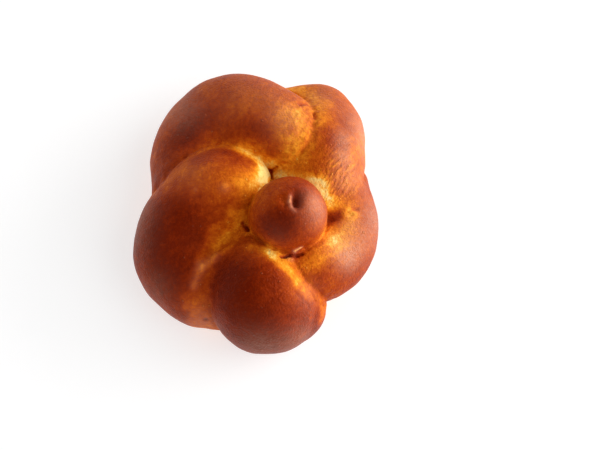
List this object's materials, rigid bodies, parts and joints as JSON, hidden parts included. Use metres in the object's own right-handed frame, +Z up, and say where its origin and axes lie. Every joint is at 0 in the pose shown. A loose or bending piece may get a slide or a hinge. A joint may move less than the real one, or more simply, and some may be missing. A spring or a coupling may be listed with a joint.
{
  "type": "pretzel knot roll",
  "caption": "Glossy brown bread roll tied from a rope of dough, with plump overlapping loops round a dimpled knob in the middle and a flat sole to rest on.",
  "frame": {"origin": "middle of the roll's outline on the flat sole, at the level of the table", "axes": "+Z up out of the table, +Y towards the back along the roll's longer side, +X to the right"},
  "size_m": [0.093, 0.112, 0.0474],
  "materials": {
    "crust": "egg-washed bread crust: glossy red-brown on the tops, golden in the creases, cream where loops meet"
  },
  "bodies": {
    "root": {"roll": "crust"}
  },
  "joints": []
}
